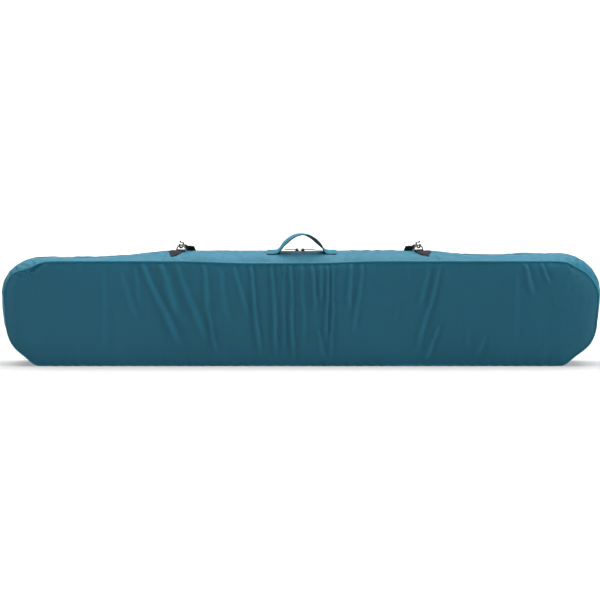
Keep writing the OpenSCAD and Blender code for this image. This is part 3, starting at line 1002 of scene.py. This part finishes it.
def coil(name, side, shift, node, body):
    """Teeth along one half of the zip, each a short bent bead that reaches from the tape to the middle."""
    s = np.arange(ZIP_START + END_OVERLAP, ZIP_END - END_OVERLAP, TOOTH_PITCH) + shift
    origin = skin(s, -0.0017, 0.0002)
    along = unit(skin(s + 0.001, -0.0017, 0.0002) - origin)
    inward = np.tile([0.0, 1.0, 0.0], (len(s), 1))
    up = unit(np.cross(along, inward))
    up = up * np.sign(np.einsum("ij,ij->i", up, origin - (0, 0, 0.12)))[:, None]
    a = np.linspace(0, 2 * np.pi, 6, endpoint=False)
    reach = np.array([-0.0015, -0.0013, 0.0, 0.0008, 0.00125, 0.00135])
    size = np.array([0.00005, 0.00055, 0.0006, 0.0008, 0.0007, 0.0001])
    rise = np.array([-0.0002, 0.0, 0.0004, 0.0003, 0.0001, 0.0])
    size = size[:, None]
    rings = points_at(0.72 * size * np.cos(a), reach[:, None], rise[:, None] + size * np.sin(a))
    flip = np.array([1, side, 1])
    piece = repeat(name, rings, origin * flip, along * flip, inward * flip, up * flip)
    dress(piece, "zip_coil", body, node)


TAPE_STEPS = int((ZIP_END - ZIP_START) / 0.005)
ZIP_ENDS = ((0, ZIP_START + END_OVERLAP), (ZIP_END - END_OVERLAP, LENGTH))
for half, side, body in HALVES:
    tape = zip_band(f"zip_tape_{half}_cloth", ZIP_START, ZIP_END, TAPE_STEPS, TAPE_Y + 0.002, COIL_Y - 0.0004,
                    -0.0006, 0.0008, side)
    dress(tape, "zip_tape", body, f"zip_tape_{half}")
    coil(f"zip_coil_{half}_teeth", side, 0 if side > 0 else TOOTH_PITCH / 2, f"zip_coil_{half}", body)
    ends = [
        zip_band(f"zip_end_{half}_{k}", first, last, 12, TAPE_Y + 0.001, 0.0004, 0.0004, CLOTH, side)
        for k, (first, last) in enumerate(ZIP_ENDS)
    ]
    dress(joined(f"zip_ends_{half}_cloth", ends), "gusset_cloth", body, f"zip_ends_{half}")
print("zip", round(ZIP_END - ZIP_START, 3), "m, teeth", int((ZIP_END - ZIP_START) / TOOTH_PITCH) * 2)

# %% [markdown]
# Two sliders meet under the handle, so the bag opens from its middle. A slider is two wedges with a bridge, and
# its pull hangs on the bridge. Rounded blocks are enough for these: every moulded edge here has a soft corner.


# %% Sliders and pulls
def block(name, low, high, power=5.0, rows=11, columns=20):
    """A rounded block between two corners, drawn as rings from pole to pole."""
    low, high = np.array(low), np.array(high)
    middle, half = (low + high) / 2, (high - low) / 2
    rise = np.linspace(-np.pi / 2, np.pi / 2, rows + 2)[1:-1]
    a = np.linspace(0, 2 * np.pi, columns, endpoint=False) + np.pi / columns

    def power_of(t):
        return np.sign(t) * np.abs(t) ** (2 / power)

    c, s = power_of(np.cos(rise))[:, None], power_of(np.sin(rise))[:, None]
    rings = capped(points_at(c * power_of(np.cos(a)), c * power_of(np.sin(a)), s) * half + middle)
    return add_mesh(name, rings.reshape(-1, 3), grid_quads(rows + 2, columns, False, True))


SIDES = (("left", -1), ("right", 1))
for where, side in SIDES:
    low, high = box(f"slider_{where}")
    cx, z0, z1 = (low[0] + high[0]) / 2, low[2], high[2]
    parts = [
        block("plate", (cx - 0.0055, -0.005, z0), (cx + 0.0055, 0.005, z0 + 0.0026), 4),
        block("crown", (cx - 0.0045, -0.0032, z0 + 0.0014), (cx + 0.0045, 0.0032, z0 + 0.0036), 3),
        block("post", (cx - 0.0036, -0.002, z0 + 0.002), (cx - 0.0018, 0.002, z1), 4),
        block("post", (cx + 0.0018, -0.002, z0 + 0.002), (cx + 0.0036, 0.002, z1), 4),
        block("bridge", (cx - 0.0036, -0.002, z1 - 0.0016), (cx + 0.0036, 0.002, z1), 4),
    ]
    dress(joined(f"slider_{where}_body", parts), "zip_metal", f"slider_{where}", f"slider_{where}")
    low, high = box(f"pull_{where}")
    z = (low[2] + high[2]) / 2
    root_x, tip = (high[0], low[0]) if side < 0 else (low[0], high[0])
    eye = loop(0.011, 0.0075, 0.003, 6)
    eye_path = points_at(root_x + side * 0.0055 + eye[:, 0], eye[:, 1], z)
    grip_from, grip_to = sorted((tip, root_x + side * 0.0105))
    parts = [
        rod("eye", eye_path, 0.0010, 8, True),
        block("grip", (grip_from, -0.0042, z - 0.0011), (grip_to, 0.0042, z + 0.0011), 4),
    ]
    for k in range(5):
        x = root_x + side * (0.017 + 0.0035 * k)
        rib_low, rib_high = (x - 0.0007, -0.0034, z + 0.0006), (x + 0.0007, 0.0034, z + 0.0015)
        parts.append(block("rib", rib_low, rib_high, 3, 7, 12))
    dress(joined(f"pull_{where}_tab", parts), "zip_metal", f"pull_{where}", f"pull_{where}")

# %% [markdown]
# The handle is a strip of black webbing with a padded cover of the bag's own cloth sewn on top. Its two feet
# lie flat beside the zip. Carrying has pulled the arch over to one side, so the far edge leans to the left.

# %% The handle
foot_low, foot_high = box("handle_foot_left")
HANDLE_Y = (foot_low[1] + foot_high[1]) / 2
HANDLE_W = foot_high[1] - foot_low[1]
FOOT_Z = foot_low[2]
ARCH_TOP = box("handle_cover")[1][2] - 0.0035 - FOOT_Z
DRAWN_TOP = 0.046
HALF_ARCH = [
    (-0.094, 0.0), (-0.076, 0.0), (-0.067, 0.0008), (-0.060, 0.004), (-0.052, 0.0125), (-0.042, 0.0245),
    (-0.031, 0.0345), (-0.018, 0.0425), (-0.008, 0.0455),
]
arch = np.array(HALF_ARCH + [(0, DRAWN_TOP)] + [(-x, z) for x, z in HALF_ARCH[::-1]])
arch[:, 1] *= ARCH_TOP / DRAWN_TOP
arch_line = even(relaxed(even(arch, 0.0015), 7), 0.0015)
LEAN = 0.40


def handle_grid(lift, width, edge_drop):
    """The arch carried across the width: each line further back is shifted left as it rises."""
    t = np.linspace(-1, 1, 13)[None, :]
    along = unit(np.gradient(arch_line, axis=0))
    out = np.stack([-along[:, 1], along[:, 0]], axis=1)
    off = (lift - edge_drop * np.abs(t) ** 4)[..., None]
    flat = arch_line[:, None] + out[:, None] * off
    y = HANDLE_Y + t * width / 2
    risen = ease(flat[..., 1] / 0.03)
    x = HANDLE_X + flat[..., 0] - LEAN * (y - HANDLE_Y) * risen
    bed = skin(rim_at(x), y)[..., 2] + 0.0007
    lying = 1 - ease(arch_line[:, None, 1] / 0.016)
    return points_at(x, y, FOOT_Z + flat[..., 1] - lying * (FOOT_Z - bed))


webbing = cloth("handle_webbing_strip", handle_grid(0.0017, HANDLE_W, 0.0), 0.0019, 1)
dress(webbing, "webbing", None, "handle_webbing", "handle_foot_left", "handle_foot_right")
cover_grid = handle_grid(0.0046, HANDLE_W - 0.0024, 0.0026)
cover = cloth("handle_cover_cloth", cover_grid, 0.0027, 1)
dress(cover, "handle_cloth", None, "handle_cover")
for piece in (webbing, cover):
    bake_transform(piece)

# %% [markdown]
# A strap fitting stands on each side of the handle: a doubled webbing tab sewn to the gusset, a D-ring through
# its fold, and a snap hook that swivels on the strap's end. They are drawn once, in a frame whose first axis
# points along the hook, and the right one is the mirror image of the left.

# %% Strap fittings
WIRE_R = 0.0018
TURN = np.radians(60)
DIP = np.radians(8)
RING_R = STRAP_WIDTH / 2 + WIRE_R
ring_low, ring_high = box("d_ring_left")
RING_X, RING_Y = (ring_low[0] + ring_high[0]) / 2, (ring_low[1] + ring_high[1]) / 2
BAR_Z = ring_low[2] + WIRE_R


def placed(piece, side, on_hook=False):
    """Moves a mesh from the fitting's own frame to its place on the bag, mirrored for the right side."""
    mesh = piece.data
    points = np.empty(len(mesh.vertices) * 3)
    mesh.vertices.foreach_get("co", points)
    x, y, z = points.reshape(-1, 3).T
    if on_hook:
        x, z = x * np.cos(DIP) + z * np.sin(DIP), RING_R - x * np.sin(DIP) + z * np.cos(DIP)
    east = RING_X + x * np.cos(TURN) - y * np.sin(TURN)
    north = RING_Y + x * np.sin(TURN) + y * np.cos(TURN)
    mesh.vertices.foreach_set("co", points_at(-side * east, north, z + BAR_Z).ravel())
    if side > 0:
        mesh.flip_normals()
    return piece


def on_gusset(x, y, side):
    """Height of the rear gusset's middle strip at a place on it, for the fitting on one side."""
    grid = strip_grids["top", "rear"]
    q = (SEAM_Y + y) / (SEAM_Y - ZIP_EDGE_Y)
    first, last, slant, slant_end, _ = STRIPS["top"]
    start, finish = first + slant * q, last + slant_end * q
    share = np.clip((rim_at(-side * x) - start) / (finish - start), 0, 1)
    return pick(grid, share.ravel(), np.clip(q, 0, 1).ravel())[:, 2].reshape(x.shape)


TAB_HALF = STRAP_WIDTH / 2
TAB_BEND_R = 0.0032
TAB_CLEAR = 0.0015
TAB_THICK = 0.0014
tab_tops = {}
for where, side in SIDES:
    a = np.linspace(0, np.pi, 40)
    hoop = points_at(0, RING_R * np.cos(a), RING_R * np.sin(a))
    bar = np.linspace((0, -RING_R, 0), (0, RING_R, 0), 24)[1:-1]
    d_line = np.concatenate([hoop, bar])
    ring = placed(rod("ring", d_line, WIRE_R, 14, True, (1, 0, 0)), side)
    ring.name = f"d_ring_{where}_wire"
    dress(ring, "ring_metal", f"d_ring_{where}", f"d_ring_{where}")

    a = np.radians(np.linspace(163, 342, 40))
    curl = points_at(0.0075 * np.cos(a), 0, 0.0075 * np.sin(a))
    hook_parts = [
        sweep("curl", curl, *frames(curl, (0, 1, 0)), ellipse(0.0034, 0.005, 16, 3)),
        block("neck", (0.006, -0.0026, -0.0032), (0.0212, 0.0026, 0.003), 5),
        block("lug", (0.0084, -0.0026, 0.001), (0.0116, 0.0026, 0.0056), 3),
    ]
    for start, end, radius in ((0.0188, 0.0208, 0.0041), (0.0206, 0.0216, 0.0035), (0.0214, 0.0232, 0.0041)):
        hook_parts.append(rod("collar", np.linspace((start, 0, 0), (end, 0, 0), 6), radius, 24))
    hook = joined(f"snap_hook_{where}_body", [placed(part, side, True) for part in hook_parts])
    dress(hook, "hook_plastic", f"snap_hook_{where}", f"snap_hook_{where}")

    pin = np.linspace((0.010, -0.0021, 0.0072), (0.010, 0.0021, 0.0072), 6)
    gate_parts = [
        rod("pin", pin, 0.0016, 14, False, (0, 0, 1)),
        block("gate", (-0.0062, -0.002, 0.0062), (0.0104, 0.002, 0.0083), 5),
        block("lever", (-0.0064, -0.0022, 0.0074), (-0.0032, 0.0022, 0.0110), 4),
    ]
    gate = joined(f"hook_gate_{where}_lever", [placed(part, side, True) for part in gate_parts])
    dress(gate, "hook_plastic", f"hook_gate_{where}", f"hook_gate_{where}")

    slot_line = loop(0.0068, STRAP_WIDTH + 0.0042, 0.0022, 6)
    slot_path = points_at(0.0312 + slot_line[:, 0], slot_line[:, 1], 0)
    stem = np.linspace((0.0233, 0, 0), (0.0272, 0, 0), 6)
    eye_parts = [rod("stem", stem, 0.0026, 16), rod("slot", slot_path, 0.0016, 12, True)]
    eye = joined(f"hook_eye_{where}_frame", [placed(part, side, True) for part in eye_parts])
    dress(eye, "hook_plastic", f"hook_eye_{where}", f"hook_eye_{where}")

    # The tab's tail turns outwards along the seam, so its heading changes with the distance from the ring.
    x_along = np.linspace(-0.037, -0.005, 17)[:, None]
    y = TAB_HALF * np.linspace(-1, 1, 9)[None, :]
    heading = TURN - 0.75 * ease((-0.006 - x_along) / 0.02)
    steps = 0.002 * np.stack([np.cos(heading), np.sin(heading)])
    middle = -0.003 * np.array([np.cos(TURN), np.sin(TURN)])[:, None, None]
    middle = middle - np.cumsum(steps[:, ::-1], axis=1)[:, ::-1]
    east = RING_X + middle[0] - y * np.sin(heading)
    north = RING_Y + middle[1] + y * np.cos(heading)
    ground = on_gusset(east, np.minimum(north, 0), side) + TAB_CLEAR
    near_ring = ease((x_along + 0.0075) / 0.0035)
    lower_z = ground * (1 - near_ring) + (BAR_Z - 0.0030) * near_ring
    doubled = 0.0018 + 0.0005 * ease((x_along + 0.03) / 0.012)
    upper_z = (ground + doubled) * (1 - near_ring) + (BAR_Z + 0.0026) * near_ring
    upper_z = np.maximum(upper_z, lower_z + doubled)
    # The fold itself wraps the ring's straight bar.
    a = np.radians(np.linspace(-80, 80, 12))[:, None]
    x = TAB_BEND_R * np.cos(a) - 0.0008
    bend_east = RING_X + x * np.cos(TURN) - y * np.sin(TURN)
    bend_north = RING_Y + x * np.sin(TURN) + y * np.cos(TURN)
    lower = points_at(east, north, lower_z)
    bend = points_at(bend_east, bend_north, BAR_Z + TAB_BEND_R * np.sin(a))
    upper = points_at(east, north, upper_z)[::-1]
    folded = np.concatenate([lower, bend, upper]) * (-side, 1, 1)
    tab = cloth(f"anchor_tab_{where}_webbing", folded, TAB_THICK, side)
    dress(tab, "webbing", "root", f"anchor_tab_{where}")
    tab_tops[where] = upper * (-side, 1, 1)
print("fittings at", round(RING_X, 3), round(RING_Y, 3), round(BAR_Z, 3))

# %% [markdown]
# Inside, each panel's foam is covered with a plain lining, pulled down to the seam all round.


# %% The lining
def lining(name, side, body, nodes, seed):
    """A soft sheet over the foam: nearly flat, and rounded down to the panel at its edges."""
    low, high = box(nodes[1])
    inset = HALF_LEN - high[0]
    share = np.linspace(-1, 1, 220)[None, :]
    z = np.linspace(low[2], high[2], 60)[:, None]
    x = (end_width(z) - inset) * share
    z = z + 0 * x
    inside = np.maximum(edge_distance(x, z) - inset, 0)
    inner_face = min(abs(low[1]), abs(high[1]))
    rounding = 0.0062 * np.exp(-inside / 0.004)
    uneven = 0.0004 * ripples(x, z, seed, 0.12) * ease(inside / 0.03)
    depth = inner_face + rounding - uneven - (SEAM_Y - seam_depth(x, z))
    pull_x, pull_z = tug(x, z)
    grid = points_at(x + pull_x, side * depth, z + pull_z)
    piece = cloth(name, grid, 0.0008, side)
    dress(piece, "lining_cloth", body, *nodes)


lining("back_lining_cloth", -1, "root", ("back_padding", "back_lining"), 80)
lining("front_lining_cloth", 1, "flap", ("front_padding", "front_lining"), 81)

# %% [markdown]
# Stitching is what makes sewn cloth believable at close range. Each stitch is a very short closed bead with a
# few faces, laid end to end along a path. The double rows sit where a real bag needs strength.


# %% Stitching
def sew(name, grid, lines, facing, finish, body, length=0.0030, gap=0.0014, thick=0.0004):
    """Rows of stitches on a grid. A line is a list of (u, v) shares, and facing is 1 where the grid's own
    normal points outwards."""
    normals = facing * grid_normals(grid)
    centres, alongs, ups = [], [], []
    for line in lines:
        line = np.array(line, dtype=float)
        share = np.linspace(0, len(line) - 1, 1200)
        u = np.interp(share, np.arange(len(line)), line[:, 0])
        v = np.interp(share, np.arange(len(line)), line[:, 1])
        points, up = pick(grid, u, v), pick(normals, u, v)
        far = np.r_[0, np.linalg.norm(np.diff(points, axis=0), axis=1).cumsum()]
        at = np.arange(length, far[-1] - length / 2, length + gap)
        centre, ahead = along_line(at, far, points), along_line(at + 0.0006, far, points)
        up = unit(along_line(at, far, up))
        centres.append(centre + up * 0.0001)
        alongs.append(unit(ahead - centre))
        ups.append(up)
    centre, along, up = np.concatenate(centres), np.concatenate(alongs), np.concatenate(ups)
    a = np.linspace(0, 2 * np.pi, 5, endpoint=False)
    reach = np.array([-0.5, -0.42, 0, 0.42, 0.5]) * length
    size = np.array([0.05, 0.8, 1, 0.8, 0.05]) * thick
    sink = np.array([-0.8, 0, 0.5, 0, -0.8]) * thick
    size = size[:, None]
    rings = points_at(reach[:, None], size * np.cos(a), sink[:, None] + size * np.sin(a))
    return dress(repeat(name, rings, centre, along, np.cross(up, along), up), finish, body)


def box_and_cross(u0, u1, v0, v1):
    """The lines of a square of stitches with a cross in it."""
    around = [(u0, v0), (u1, v0), (u1, v1), (u0, v1), (u0, v0)]
    return [around, [(u0, v0), (u1, v1)], [(u0, v1), (u1, v0)]]


for (where, half), grid in strip_grids.items():
    facing, body = (-1, "root") if half == "rear" else (1, "flap")
    length = np.linalg.norm(np.diff(grid[:, -1], axis=0), axis=1).sum()
    margin = 0.0035 / length
    lines = [[(0.004, 0.945), (0.996, 0.945)]]
    if where == "top":
        lines += [[(end, 0.03), (end, 0.94)] for end in (margin, 1 - margin)]
    sew(f"gusset_{where}_{half}_stitching", grid, lines, facing, "thread", body)

handle_lines = [[(0.012, 0.15), (0.988, 0.15)], [(0.012, 0.85), (0.988, 0.85)]]
handle_lines += box_and_cross(0.015, 0.115, 0.22, 0.78) + box_and_cross(0.885, 0.985, 0.22, 0.78)
handle_seams = sew("handle_stitching", cover_grid, handle_lines, 1, "thread", None)
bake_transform(handle_seams)
for where, side in SIDES:
    tab_lines = box_and_cross(0.42, 0.94, 0.1, 0.9) + [[(0.3, 0.08), (0.3, 0.92)]]
    sew(
        f"anchor_tab_{where}_stitching", tab_tops[where], tab_lines, side, "black_thread", "root",
        length=0.0024, gap=0.0011,
    )

# %% [markdown]
# The floor glows a little more with distance, so that it runs into the white backdrop without a line.

# %% The floor
floor_mesh = bpy.data.meshes.new("floor")
floor_turn = np.linspace(0, 2 * np.pi, 64, endpoint=False)
floor_ring = [(14 * np.cos(a), 14 * np.sin(a), 0) for a in floor_turn]
floor_mesh.from_pydata(floor_ring, [], [tuple(range(64))])
floor = bpy.data.objects.new("floor", floor_mesh)
bpy.context.scene.collection.objects.link(floor)
floor_finish = Finish("floor", (0.32, 0.32, 0.32), 0.9, Specular_IOR_Level=0.1, Emission_Strength=1.0)
reach = floor_finish.node("ShaderNodeVectorMath", {"operation": "LENGTH"}, {0: floor_finish.place()}, "Value")
fading = {"Value": reach, "From Min": 0.9, "From Max": 2.6, "To Min": 0.28, "To Max": 1.0}
fade = floor_finish.node("ShaderNodeMapRange", None, fading)
floor_finish.set("Emission Color", fade)
floor_mesh.materials.append(floor_finish.material)
